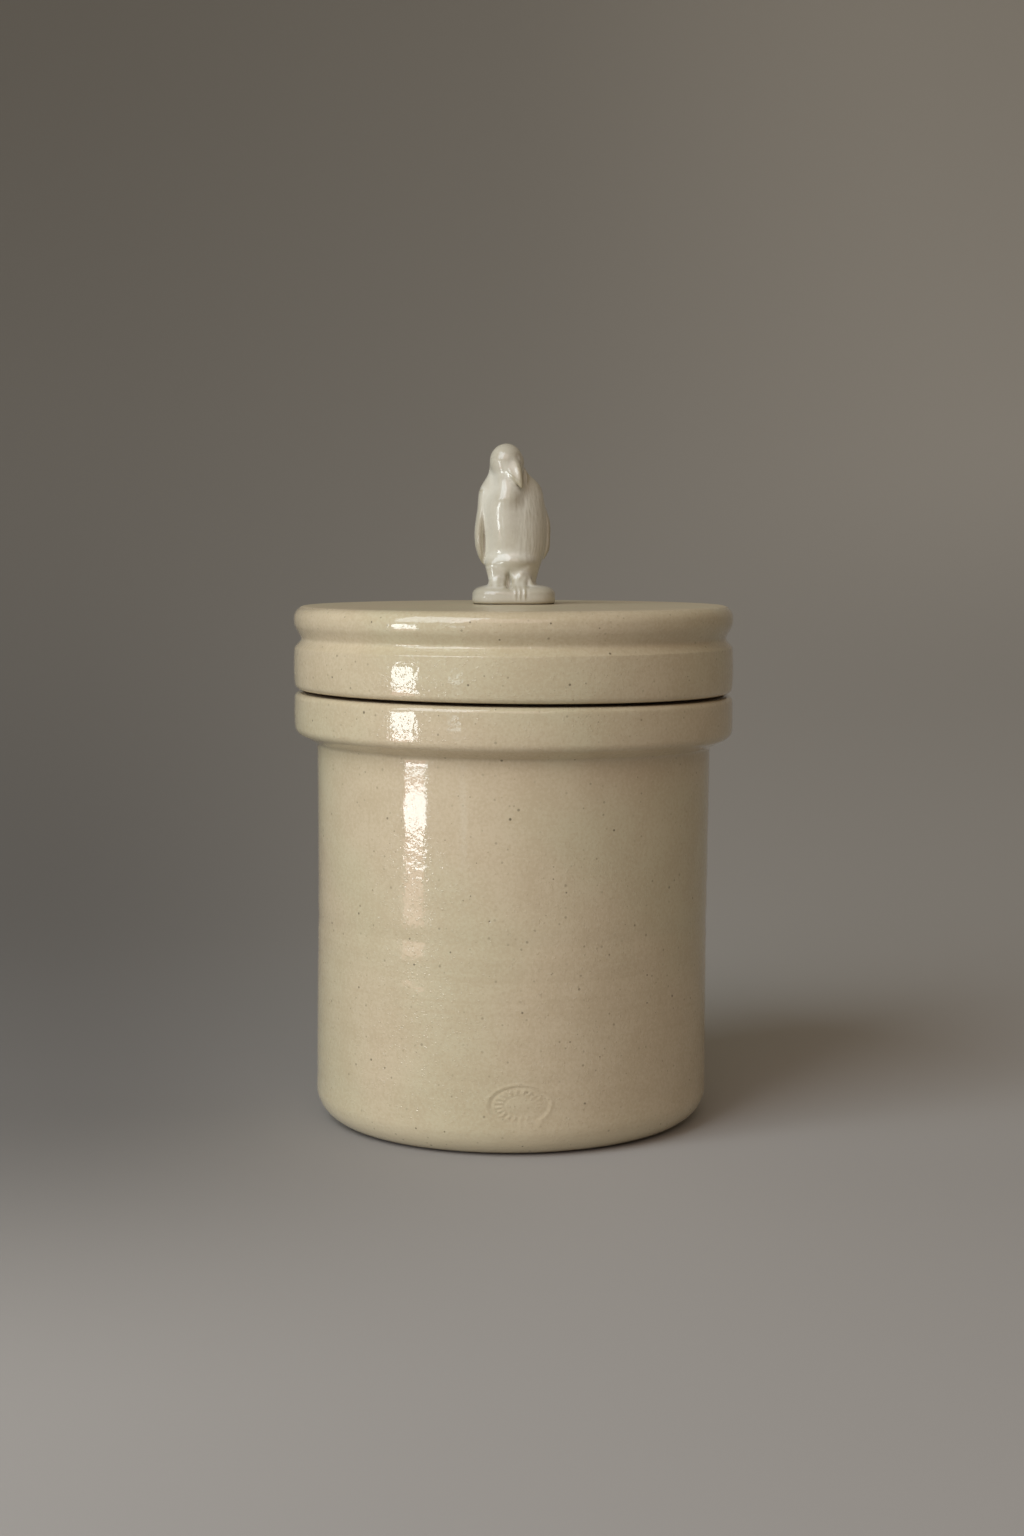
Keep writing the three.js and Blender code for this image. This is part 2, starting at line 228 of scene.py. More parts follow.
def thrown_form_tree():
    """Geometry Nodes: an outline turned round the axis, with the hand's wobble, rings, lean and tilt."""
    tree = bpy.data.node_groups.new("thrown_form", "GeometryNodeTree")
    kinds = {"Outline": "Geometry", "Sides": "Int", "Clay": "Material"}
    for name in ["Outline", *JAR_HANDWORK, "Clay"]:
        kind = "NodeSocket" + kinds.get(name, "Float")
        tree.interface.new_socket(name, in_out="INPUT", socket_type=kind)
    tree.interface.new_socket("Pot", in_out="OUTPUT", socket_type="NodeSocketGeometry")
    given = put(tree, "NodeGroupInput", "sizes").outputs

    sheet, column, row = sheet_of_rows(tree, given)
    here = put(tree, "GeometryNodeInputPosition").outputs[0]
    point = off_outline(tree, given, row, here, "FLOAT_VECTOR")
    parts = feed(tree, put(tree, "ShaderNodeSeparateXYZ"), {0: point}).outputs
    radius, height = parts["X"], parts["Z"]
    named = feed(tree, put(tree, "GeometryNodeInputNamedAttribute", data_type="FLOAT"), {"Name": "bare"})
    bareness = off_outline(tree, given, row, named.outputs[0], "FLOAT")

    turn = calc(tree, "MULTIPLY", calc(tree, "DIVIDE", column, given["Sides"]), 2 * pi)
    crowd = calc(tree, "MULTIPLY", given["Front Crowding"], calc(tree, "SINE", turn))
    angle = calc(tree, "SUBTRACT", turn, crowd)
    across = calc(tree, "SINE", angle)
    ahead = calc(tree, "MULTIPLY", calc(tree, "COSINE", angle), -1.0)
    out = calc(tree, "ADD", radius, off_true(tree, given, radius, height, across, ahead))

    below = calc(tree, "MINIMUM", calc(tree, "SUBTRACT", height, given["Lean Below"]), 0.0)
    x = calc(tree, "MULTIPLY_ADD", out, across, calc(tree, "MULTIPLY", below, given["Body Lean"]))
    y = calc(tree, "MULTIPLY", out, ahead)
    tilt = calc(tree, "MULTIPLY", x, given["Rim Tilt"])
    sink = calc(tree, "MULTIPLY", tilt, band(tree, height, TILTED_BAND))
    z = calc(tree, "SUBTRACT", height, sink)
    place = feed(tree, put(tree, "ShaderNodeCombineXYZ"), {0: x, 1: y, 2: z}).outputs[0]

    def then(geometry, kind, inputs, **settings):
        return feed(tree, put(tree, kind, **settings), {"Geometry": geometry, **inputs}).outputs[0]

    store = {"data_type": "FLOAT", "domain": "POINT"}
    pot = then(sheet, "GeometryNodeSetPosition", {"Position": place})
    pot = then(pot, "GeometryNodeStoreNamedAttribute", {"Name": "bare", "Value": bareness}, **store)
    pot = then(pot, "GeometryNodeMergeByDistance", {"Distance": SEAM_WELD})
    pot = then(pot, "GeometryNodeSetShadeSmooth", {})
    pot = then(pot, "GeometryNodeRealizeInstances", {})
    pot = then(pot, "GeometryNodeSetMaterial", {"Material": given["Clay"]})
    feed(tree, put(tree, "NodeGroupOutput"), {"Pot": pot})
    return tree


def in_scene(name, data):
    """A new object with that name and data, in the scene."""
    thing = bpy.data.objects.new(name, data)
    bpy.context.scene.collection.objects.link(thing)
    return thing


def places(mesh):
    """Where each point of the mesh is, one row for each."""
    corners = np.empty(len(mesh.vertices) * 3)
    mesh.vertices.foreach_get("co", corners)
    return corners.reshape(-1, 3)


def thrown(name, outline, tree, values):
    """A plain mesh object made by the tree from the outline, with its faces pointing out."""
    raw = in_scene(name + "_outline", outline)
    modifier = raw.modifiers.new("thrown", "NODES")
    modifier.node_group = tree
    for socket in tree.interface.items_tree:
        if socket.in_out == "INPUT" and socket.name in values:
            modifier[socket.identifier] = values[socket.name]
    graph = bpy.context.evaluated_depsgraph_get()
    mesh = bpy.data.meshes.new_from_object(raw.evaluated_get(graph))
    bpy.data.objects.remove(raw)
    mesh.name = name
    mesh.calc_loop_triangles()
    tris = np.empty(len(mesh.loop_triangles) * 3, np.int32)
    mesh.loop_triangles.foreach_get("vertices", tris)
    a, b, c = places(mesh)[tris.reshape(-1, 3)].transpose(1, 0, 2)
    if np.einsum("ij,ij->i", a, np.cross(b, c)).sum() < 0:
        mesh.flip_normals()
    return in_scene(name, mesh)


def shader_group(name, inputs, outputs):
    """A shader node group with its named sockets, and its input node's outputs."""
    tree = bpy.data.node_groups.new(name, "ShaderNodeTree")
    for label, kind, value in inputs:
        socket = tree.interface.new_socket(label, in_out="INPUT", socket_type=kind)
        if value is not None:
            socket.default_value = value
    for label in outputs:
        tree.interface.new_socket(label, in_out="OUTPUT", socket_type="NodeSocketFloat")
    return tree, put(tree, "NodeGroupInput").outputs


def spots(tree, where, spacing, size, wanted):
    """Soft round spots in the wanted share of cells of that spacing, and a chance of its own for each."""
    cells = put(tree, "ShaderNodeTexVoronoi", "spots", voronoi_dimensions="3D", feature="F1")
    cells = feed(tree, cells, {"Vector": where, "Scale": calc(tree, "DIVIDE", 1.0, spacing)})
    chance = feed(tree, put(tree, "ShaderNodeSeparateColor"), {0: cells.outputs["Color"]}).outputs
    away = calc(tree, "MULTIPLY", cells.outputs["Distance"], spacing)
    grown = calc(tree, "MULTIPLY", size, calc(tree, "ADD", chance[1], 0.4))
    spot = ease(tree, calc(tree, "DIVIDE", away, grown), 0.45, 1.0, 1.0, 0.0)
    return calc(tree, "MULTIPLY", spot, calc(tree, "LESS_THAN", chance[0], wanted)), chance[2]


def noise_at(tree, where, scale, detail=2.0, roughness=0.5):
    """A noise with that many swings to the metre."""
    texture = put(tree, "ShaderNodeTexNoise", noise_dimensions="3D")
    inputs = {"Vector": where, "Scale": scale, "Detail": detail, "Roughness": roughness}
    return feed(tree, texture, inputs).outputs[0]


# The glaze's skin. A share is how many of the cells hold a spot. The other values are parts of the specks'
# spacing, of the pit's size and of the grain's size and depth, and the last three are swings to the metre.
SPECK_SHARE = 0.8
DUST_SPACING = 0.42
DUST_SHARE = 0.35
PIT_SHARE = 0.5
PIT_DEPTH = 0.35
SWELL_DEPTH = 0.8
PIMPLE_SPACING = 0.38
PIMPLE_SIZE = 0.17
PIMPLE_SHARE = 0.55
PIMPLE_RISE = 0.85
FINE_MOTTLE = 950.0
SLOW_MOTTLE = 90.0
CLOUD = 17.0


def glaze_skin_group():
    """What a fired glaze shows over any clay: orange-peel grain, iron specks, pinholes and a slow mottle."""
    tree, given = shader_group(
        "glaze_skin",
        [
            ("Where", "NodeSocketVector", None),
            ("Grain Size", "NodeSocketFloat", 0.0020),
            ("Grain Depth", "NodeSocketFloat", 0.00007),
            ("Speck Spacing", "NodeSocketFloat", 0.0048),
            ("Speck Size", "NodeSocketFloat", 0.00044),
            ("Pit Spacing", "NodeSocketFloat", 0.013),
            ("Pit Size", "NodeSocketFloat", 0.0005),
        ],
        ["Height", "Specks", "Pits", "Mottle", "Cloud"],
    )
    where = given["Where"]
    grain = noise_at(tree, where, calc(tree, "DIVIDE", 1.0, given["Grain Size"]), 2.0)
    swell = noise_at(tree, where, calc(tree, "DIVIDE", 0.3, given["Grain Size"]), 1.0)
    peel = calc(tree, "MULTIPLY", calc(tree, "MULTIPLY_ADD", swell, SWELL_DEPTH, grain), given["Grain Depth"])
    apart = calc(tree, "MULTIPLY", given["Grain Size"], PIMPLE_SPACING)
    wide = calc(tree, "MULTIPLY", given["Grain Size"], PIMPLE_SIZE)
    pimples, rise = spots(tree, where, apart, wide, PIMPLE_SHARE)
    raised = calc(tree, "MULTIPLY", given["Grain Depth"], PIMPLE_RISE)
    raised = calc(tree, "MULTIPLY", calc(tree, "MULTIPLY", pimples, rise), raised)
    pits, _ = spots(tree, where, given["Pit Spacing"], given["Pit Size"], PIT_SHARE)
    sunk = calc(tree, "MULTIPLY", pits, calc(tree, "MULTIPLY", given["Pit Size"], PIT_DEPTH))

    specks, tone = spots(tree, where, given["Speck Spacing"], given["Speck Size"], SPECK_SHARE)
    specks = calc(tree, "MULTIPLY", specks, calc(tree, "MULTIPLY_ADD", tone, 0.75, 0.25))
    apart = calc(tree, "MULTIPLY", given["Speck Spacing"], DUST_SPACING)
    dust, faint = spots(tree, where, apart, given["Speck Size"], DUST_SHARE)
    dust = calc(tree, "MULTIPLY", dust, calc(tree, "MULTIPLY", faint, 0.5))

    fine = noise_at(tree, where, FINE_MOTTLE, 2.0, 0.6)
    slow = noise_at(tree, where, SLOW_MOTTLE, 3.0, 0.55)
    mottle = calc(tree, "MULTIPLY_ADD", fine, 0.6, calc(tree, "MULTIPLY", slow, 0.4))
    outputs = {
        "Height": calc(tree, "SUBTRACT", calc(tree, "ADD", peel, raised), sunk),
        "Specks": calc(tree, "MAXIMUM", specks, dust),
        "Pits": pits,
        "Mottle": ease(tree, mottle, 0.36, 0.64),
        "Cloud": ease(tree, noise_at(tree, where, CLOUD, 2.0, 0.45), 0.38, 0.62),
    }
    feed(tree, put(tree, "NodeGroupOutput"), outputs)
    return tree


def new_material(name):
    """A material with only its Principled shader, and where on the piece a point is."""
    material = bpy.data.materials.new(name)
    material.use_nodes = True
    tree = material.node_tree
    shader = next(node for node in tree.nodes if node.type == "BSDF_PRINCIPLED")
    where = put(tree, "ShaderNodeTexCoord").outputs["Object"]
    return material, tree, shader, where


def mixed(tree, amount, first, second):
    """The first colour, with that amount of the second."""
    node = put(tree, "ShaderNodeMix", data_type="RGBA", blend_type="MIX")
    return feed(tree, node, {0: amount, 6: first, 7: second}).outputs[2]


def placed(tree, group, inputs):
    """The outputs of a node group that is placed in the tree with its own values."""
    node = put(tree, "ShaderNodeGroup")
    node.node_tree = group
    return feed(tree, node, inputs).outputs


def in_relief(tree, height):
    """The normal of a surface with that relief, in metres."""
    bump = put(tree, "ShaderNodeBump")
    return feed(tree, bump, {"Strength": 1.0, "Distance": 1.0, "Height": height}).outputs[0]


glaze_skin = glaze_skin_group()

# The stoneware glaze: its colours, where one thing passes into another, in shares or heights, how much each
# thing adds to its roughness, and the bare clay's grain in swings to the metre.
GLAZE_GREEN = (0.600, 0.532, 0.353, 1)
GLAZE_PINK = (0.628, 0.527, 0.358, 1)
GLAZE_THIN = (0.510, 0.408, 0.255, 1)
# painted light: the paler glaze laid over the heel's rounding
GLAZE_HEEL_LIGHTENED = (0.700, 0.620, 0.430, 1)
SPECK = (0.090, 0.072, 0.036, 1)
BARE_CLAY = (0.430, 0.330, 0.215, 1)
BARE_CLAY_DEEP = (0.30, 0.21, 0.125, 1)
BARE_EDGE = (0.7, 0.85)
WIPING_STROKES = (6.0, 6.0, 620.0)
STROKES_SHOW = (0.56, 0.66)
STROKES_THIN = 0.16
THIN_HEEL = (0.0003, 0.0016)
LIGHTENED_HEEL = (0.002, 0.012)
LID_TOP = (0.1747, 0.1755)
GLAZE_ROUGHNESS = 0.032
MOTTLE_DULLS = 0.02
SPECKS_DULL = 0.25
LID_TOP_DULLS = 0.3
CLAY_ROUGHNESS = 0.78
CLAY_GRAIN = 1800.0
CLAY_GRIT = 2600.0
GRIT_DEPTH = 0.00006
RAGGED_EDGE = 420.0
CALM_TAKES = 0.7
GLAZE_IOR = 1.58


def stoneware_glaze():
    """Cream stoneware glaze over buff clay, and the clay itself where the glaze was wiped off."""
    material, tree, shader, where = new_material("stoneware_glaze")
    skin = placed(tree, glaze_skin, {"Where": where})
    bare = put(tree, "ShaderNodeAttribute", attribute_name="bare").outputs["Fac"]
    edge = noise_at(tree, where, RAGGED_EDGE, 3.0)
    bare = ease(tree, calc(tree, "MULTIPLY_ADD", edge, 0.5, bare), *BARE_EDGE)

    height = feed(tree, put(tree, "ShaderNodeSeparateXYZ"), {0: where}).outputs["Z"]
    stretch = put(tree, "ShaderNodeMapping", "wiping strokes")
    stretch = feed(tree, stretch, {"Vector": where, "Scale": WIPING_STROKES}).outputs[0]
    wiped = ease(tree, noise_at(tree, stretch, 1.0, 2.0), *STROKES_SHOW)
    lower = calc(tree, "MULTIPLY", band(tree, height, WIPED_BAND), STROKES_THIN)
    wiped = calc(tree, "MULTIPLY", wiped, lower)
    heel = ease(tree, height, *THIN_HEEL, 1.0, 0.0)

    colour = mixed(tree, skin["Cloud"], GLAZE_GREEN, GLAZE_PINK)
    shade = calc(tree, "MULTIPLY", calc(tree, "SUBTRACT", 1.0, skin["Mottle"]), 0.5)
    colour = mixed(tree, shade, colour, GLAZE_THIN)
    # painted light: the glaze is paler over the rounded heel, which turns down into shade
    colour = mixed(tree, ease(tree, height, *LIGHTENED_HEEL, 0.8, 0.0), colour, GLAZE_HEEL_LIGHTENED)
    thin = calc(tree, "MAXIMUM", wiped, calc(tree, "MULTIPLY", heel, 0.7))
    colour = mixed(tree, thin, colour, GLAZE_THIN)
    colour = mixed(tree, calc(tree, "MULTIPLY", skin["Specks"], 0.85), colour, SPECK)
    colour = mixed(tree, calc(tree, "MULTIPLY", skin["Pits"], 0.7), colour, SPECK)
    clay = mixed(tree, noise_at(tree, where, CLAY_GRAIN, 2.0), BARE_CLAY, BARE_CLAY_DEEP)
    feed(tree, shader, {"Base Color": mixed(tree, bare, colour, clay)})

    gloss = calc(tree, "MULTIPLY_ADD", skin["Mottle"], MOTTLE_DULLS, GLAZE_ROUGHNESS)
    gloss = calc(tree, "MULTIPLY_ADD", skin["Specks"], SPECKS_DULL, gloss)
    gloss = calc(tree, "MULTIPLY_ADD", ease(tree, height, *LID_TOP), LID_TOP_DULLS, gloss)
    dull = calc(tree, "SUBTRACT", CLAY_ROUGHNESS, gloss)
    feed(tree, shader, {"Roughness": calc(tree, "MULTIPLY_ADD", bare, dull, gloss)})

    grit = calc(tree, "MULTIPLY", noise_at(tree, where, CLAY_GRIT, 2.0), GRIT_DEPTH)
    calm = calc(tree, "MULTIPLY", band(tree, height, CALM_BAND), CALM_TAKES)
    smooth = calc(tree, "SUBTRACT", calc(tree, "SUBTRACT", 1.0, bare), calm)
    relief = calc(tree, "MULTIPLY_ADD", bare, grit, calc(tree, "MULTIPLY", smooth, skin["Height"]))
    feed(tree, shader, {"Normal": in_relief(tree, relief), "IOR": GLAZE_IOR})
    return material


STAMP_MIDDLE = (0.0017, 0.0178)
STAMP_SIZE = (0.0187, 0.0120)
STAMP_TURN = radians(2)
STAMP_DEPTH = 0.00019
STAMP_TICKS = 20
STAMP_REACH = 0.016
STAMP_HEIGHTS = (0.006, 0.032)


def press_stamp(mesh):
    """The plain oval seal pressed into the soft wall near the foot, half worn away: a rim and its ticks."""
    corners = places(mesh)
    x, y, z = corners.T
    radius = np.hypot(x, y)
    near = (y < 0) & (radius > OUTER_WALL) & (np.abs(x - STAMP_MIDDLE[0]) < STAMP_REACH)
    near &= (z > STAMP_HEIGHTS[0]) & (z < STAMP_HEIGHTS[1])
    s, t = x[near] - STAMP_MIDDLE[0], z[near] - STAMP_MIDDLE[1]
    s, t = s * cos(STAMP_TURN) + t * sin(STAMP_TURN), t * cos(STAMP_TURN) - s * sin(STAMP_TURN)
    a, b = STAMP_SIZE[0] / 2, STAMP_SIZE[1] / 2
    reach = np.sqrt((s / a) ** 2 + (t / b) ** 2)
    way = np.arctan2(t / b, s / a)

    def bell(middle, width):
        return np.exp(-(((reach - middle) / width) ** 2))

    # the sunk field, the groove inside its edge, the clay that rose outside it, the ticks, which stand up and
    # sink in turn, the inner oval, and the middle that came up again
    worn = 0.6 + 0.4 * np.cos(way - 2.8)
    press = np.where(reach < 1, 0.45, 0.45 * bell(1.0, 0.06))
    press = press + 0.9 * bell(0.95, 0.045) * worn
    press = press - 0.55 * bell(1.12, 0.07)
    ticks = np.clip(np.sin(way * STAMP_TICKS) * 1.6, -1, 1)
    ticks = ticks * np.clip(1 - ((reach - 0.72) / 0.13) ** 2, 0, 1) ** 0.5
    press = press - 0.75 * ticks * worn
    press = press + 0.6 * bell(0.5, 0.05) * (0.6 + 0.4 * np.cos(way - 2.9))
    press = press - 0.3 * bell(0.0, 0.3)
    out = corners[near] / radius[near][:, None] * [1, 1, 0]
    corners[near] -= out * (press * STAMP_DEPTH)[:, None]
    mesh.vertices.foreach_set("co", corners.ravel())
    mesh.update()


FINE_HEIGHTS = (0.0115, 0.0255)
FOOT_WIPED_BELOW = 0.0009
FOOT_WIPED_WITHIN = 0.0605
RIM_WIPED_ABOVE = 0.1456
RIM_WIPED_RADII = (0.0605, 0.0722)


def jar_step(radius, height):
    """Fine rows where the stamp is pressed, coarse ones on the rest of the outside, coarser ones inside."""
    if radius > OUTER_WALL and FINE_HEIGHTS[0] < height < FINE_HEIGHTS[1]:
        return FINE_STEP
    return COARSE_STEP if radius > INNER_WALL else INSIDE_STEP


def jar_bareness(radius, height):
    """Bare on the flat of the foot and on the flat of the rim."""
    foot = height < FOOT_WIPED_BELOW and radius < FOOT_WIPED_WITHIN
    rim = height > RIM_WIPED_ABOVE and RIM_WIPED_RADII[0] < radius < RIM_WIPED_RADII[1]
    return float(foot or rim)


glaze = stoneware_glaze()
thrown_form = thrown_form_tree()
jar_line = outline_mesh("jar_outline", filled(rounded(JAR_OUTLINE), jar_step), jar_bareness)
jar = thrown("thrown_jar", jar_line, thrown_form, {**JAR_HANDWORK, "Clay": glaze})
press_stamp(jar.data)
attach(jar, "jar")
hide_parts("jar_body")


# The lid: one thick cap of the same clay, turned on the wheel when leather hard. A rolled bead, a finger
# groove and a tall skirt run round it, and the flange below drops into the jar's mouth. Seat and flange were
# wiped clean of glaze so that the two would not fire together.

LID_SEAT = 0.1468
LID_OUTLINE = [
    (0, 0.0198, 0),
    (0.053, 0.0198, 0.008),
    (0.053, -0.007, 0.0014),
    (0.058, -0.007, 0.0014),
    (0.058, 0, 0.0008),
    (0.0716, 0, 0),
    (0.0746, 0, 0.0021),
    (0.0750, 0.0060, 0.04),
    (0.0749, 0.0112, 0.0008),
    (0.0747, 0.0148, 0.0006),
    (0.0722, 0.0177, 0.0012),
    (0.0748, 0.0224, 0.006),
    (0.0749, 0.0288, 0.0041),
    (0, 0.0294, 0),
]

LID_HANDWORK = {
    **JAR_HANDWORK,
    "Front Crowding": 0.3,
    "Wobble": 0.00005,
    "Wobble Size": 0.03,
    "Ring Depth": 0.00002,
    "Ring Pitch": 0.004,
    "Body Lean": 0.0,
    "Lean Below": 0.0,
    "Hand Seed": 8.0,
}
LID_EDGE = 0.0715
LID_EDGE_STEP = 0.0011
LID_FLAT_STEP = 0.003
SEAT_WIPED_WITHIN = 0.0735
SEAT_WIPED_BELOW = LID_SEAT + 0.0006
FLANGE_WIPED_BELOW = LID_SEAT - 0.0002


def lid_step(radius, height):
    """Close rows round the bead, groove and skirt, wide ones on the flats."""
    return LID_EDGE_STEP if radius > LID_EDGE else LID_FLAT_STEP


def lid_bareness(radius, height):
    """Bare on the seat and on all that hangs below it."""
    seat = height < SEAT_WIPED_BELOW and radius < SEAT_WIPED_WITHIN
    return float(seat or height < FLANGE_WIPED_BELOW)


lid_corners = rounded([(r, LID_SEAT + z, rounding) for r, z, rounding in LID_OUTLINE])
lid_line = outline_mesh("lid_outline", filled(lid_corners, lid_step), lid_bareness)
lid = thrown("turned_lid", lid_line, thrown_form, {**LID_HANDWORK, "Clay": glaze})
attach(lid, "lid")
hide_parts("lid")


# The setting bed: a thin cake of dark paste that fixes the figure to the lid. The figure was set on it and
# pressed down, so that its edge came out to an uneven line round the plinth. Its dark colour also paints the
# line of shade under the plinth.

BED_SIZE = (0.0274, 0.0240)
BED_THICKNESS = 0.0004
BED_FOOT = LID_SEAT + 0.0292
BED_SIDES = 160
BED_SQUARENESS = 2.4
BED_WANDER = 0.022
BED_WANDER_FROM = 0.9

# [share of the half width, share of the thickness] from the middle of the underside to the middle of the top
BED_PROFILE = [(0.0, 0.0), (0.93, 0.0), (0.985, 0.12), (1.0, 0.35), (1.0, 0.7), (0.985, 1.0), (0.0, 1.0)]

PASTE_DARK_AS_SHADE = (0.16, 0.13, 0.09, 1)
PASTE_PALE = (0.26, 0.215, 0.155, 1)
PASTE_GRAIN = 1500.0
PASTE_GRAIN_DEPTH = 0.00008


def setting_paste():
    """Brown paste, dried dull and gritty, and dark enough to paint the line of shade under the plinth."""
    material, tree, shader, where = new_material("setting_paste")
    grain = noise_at(tree, where, PASTE_GRAIN, 3.0, 0.6)
    # the paste's dark brown is partly its own colour and partly painted shade under the plinth
    feed(tree, shader, {"Base Color": mixed(tree, grain, PASTE_DARK_AS_SHADE, PASTE_PALE)})
    feed(tree, shader, {"Roughness": calc(tree, "MULTIPLY_ADD", grain, 0.2, 0.65)})
    feed(tree, shader, {"Normal": in_relief(tree, calc(tree, "MULTIPLY", grain, PASTE_GRAIN_DEPTH))})
    return material


def pressed_bed():
    """An oval cake of paste: flat above and below, with a round side that wanders in and out."""
    corners, faces = [], []
    for reach, rise in BED_PROFILE:
        for k in range(1 if reach == 0 else BED_SIDES):
            angle = 2 * pi * k / BED_SIDES
            way = Vector((cos(angle), sin(angle), 0))
            wander = 1 + BED_WANDER * noise.noise(way * 4) * (reach > BED_WANDER_FROM)
            across = [abs(v) ** (2 / BED_SQUARENESS) * (1 if v > 0 else -1) for v in way[:2]]
            x, y = (v * size / 2 * reach * wander for v, size in zip(across, BED_SIZE))
            corners.append((x, y, BED_FOOT + rise * BED_THICKNESS))
    rings = len(BED_PROFILE) - 2
    for ring in range(rings - 1):
        first, second = 1 + ring * BED_SIDES, 1 + (ring + 1) * BED_SIDES
        for k in range(BED_SIDES):
            after = (k + 1) % BED_SIDES
            faces.append((first + k, first + after, second + after, second + k))
    last = 1 + (rings - 1) * BED_SIDES
    for k in range(BED_SIDES):
        after = (k + 1) % BED_SIDES
        faces.append((0, 1 + after, 1 + k))
        faces.append((last + k, last + after, len(corners) - 1))
    mesh = bpy.data.meshes.new("paste_bed")
    mesh.from_pydata(corners, [], faces)
    mesh.shade_smooth()
    return mesh


bed = in_scene("paste_bed", pressed_bed())
bed.data.materials.append(setting_paste())
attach(bed, "lid")
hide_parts("setting_bed")


# The knob: a penguin slip-cast in white porcelain on its own oval plinth, standing with its head bowed and
# turned. It was carved in the round before the mould was made, so every form runs softly into the next. Its
# glaze gathers a little in the hollows, which are also painted dark brown as painted shade.

# The forms are in millimetres, from the underside of the plinth, with left and right as seen from the front.
# The number after a form is how far it blends into the rest.
FIGURE_FOOT = BED_FOOT + BED_THICKNESS
CARVING_PITCH = 0.27
CARVING_LOW = (-15.6, -14.2, -0.8)
CARVING_HIGH = (15.8, 13.6, 55.4)
OPEN_AIR = 20.0
FORM_MARGIN = 2
NOT_ZERO = 1e-9
ROD_STEPS = 5
ROD_EASINGS = 4
OVAL_EASING = 1.3
OVAL_EASING_STEPS = 12
OVAL_END_BLEND = 3.0

# [height, middle across, half width, middle along, half depth]
TRUNK = [
    (5.0, -0.4, 7.6, 0.5, 6.9),
    (9.0, -0.35, 8.4, 0.4, 7.6),
    (12.0, -0.4, 9.3, 0.2, 8.6),
    (14.5, -0.2, 10.0, 0.3, 9.2),
    (16.5, 0.1, 10.3, 0.3, 8.9),
    (18.0, 0.35, 10.6, 0.3, 9.0),
    (22.0, 0.55, 10.8, 0.2, 9.3),
    (25.0, 0.4, 11.0, 0.1, 9.5),
    (30.0, -0.2, 11.1, 0.1, 9.5),
    (34.0, -0.8, 11.2, 0.3, 8.8),
    (37.0, -0.95, 10.95, 0.5, 7.7),
    (39.7, -0.95, 10.2, 0.6, 6.9),
    (42.0, -1.25, 8.4, 0.4, 6.2),
    (44.0, -1.8, 6.4, 0.0, 5.8),
    (48.0, -2.6, 5.0, -1.4, 5.2),
]
BREAST = [
    (18.0, -2.0, 5.0, -2.6, 5.4),
    (22.0, -2.1, 5.6, -3.28, 6.0),
    (25.0, -2.2, 5.8, -3.95, 6.0),
    (28.0, -2.5, 5.8, -4.12, 6.0),
    (31.0, -2.65, 5.8, -4.29, 6.0),
    (34.8, -2.1, 5.7, -4.94, 6.0),
    (36.0, -1.95, 5.6, -4.79, 5.95),
    (38.0, -1.75, 5.1, -4.3, 5.7),
    (39.3, -1.7, 4.7, -4.05, 5.3),
    (41.0, -1.8, 4.5, -3.95, 5.1),
    (43.0, -1.9, 4.3, -4.0, 4.9),
    (46.0, -2.2, 4.2, -4.1, 4.5),
]


def smooth_min(a, b, blend):
    """The lesser of two distances, with a soft corner where they are close."""
    h = np.clip(0.5 + 0.5 * (b - a) / blend, 0, 1)
    return b + (a - b) * h - blend * h * (1 - h)


class Carving:
    """A block of distances to a surface, to which forms are added or from which they are cut."""

    def __init__(self, low, high, pitch):
        self.low, self.pitch = np.array(low, float), pitch
        counts = [int(np.ceil((b - a) / pitch)) + 1 for a, b in zip(low, high)]
        self.axes = [a + pitch * np.arange(n) for a, n in zip(low, counts)]
        self.field = np.full(counts, OPEN_AIR)

    def reached(self, form, blend):
        """The part of the block that the form and its blend reach, and the form's distances there."""
        distance, low, high = form
        low, high = np.array(low) - FORM_MARGIN - blend, np.array(high) + FORM_MARGIN + blend
        part = tuple(slice(*np.searchsorted(axis, (a, b))) for axis, a, b in zip(self.axes, low, high))
        x, y, z = np.meshgrid(*[axis[p] for axis, p in zip(self.axes, part)], indexing="ij", sparse=True)
        return part, distance(x, y, z)

    def add(self, form, blend):
        part, distances = self.reached(form, blend)
        self.field[part] = smooth_min(self.field[part], distances, blend)

    def cut(self, form, blend):
        part, distances = self.reached(form, blend)
        self.field[part] = -smooth_min(-self.field[part], distances, blend)


def egg(middle, radii):
    """An egg with its middle and its radius across, along and up."""
    r = np.array(radii, float)

    def distance(x, y, z):
        q = [x - middle[0], y - middle[1], z - middle[2]]
        near = np.sqrt(sum((q[i] / r[i]) ** 2 for i in range(3)))
        steep = np.sqrt(sum((q[i] / r[i] ** 2) ** 2 for i in range(3))) + NOT_ZERO
        return near * (near - 1) / steep

    reach = max(radii)
    return distance, [m - reach for m in middle], [m + reach for m in middle]


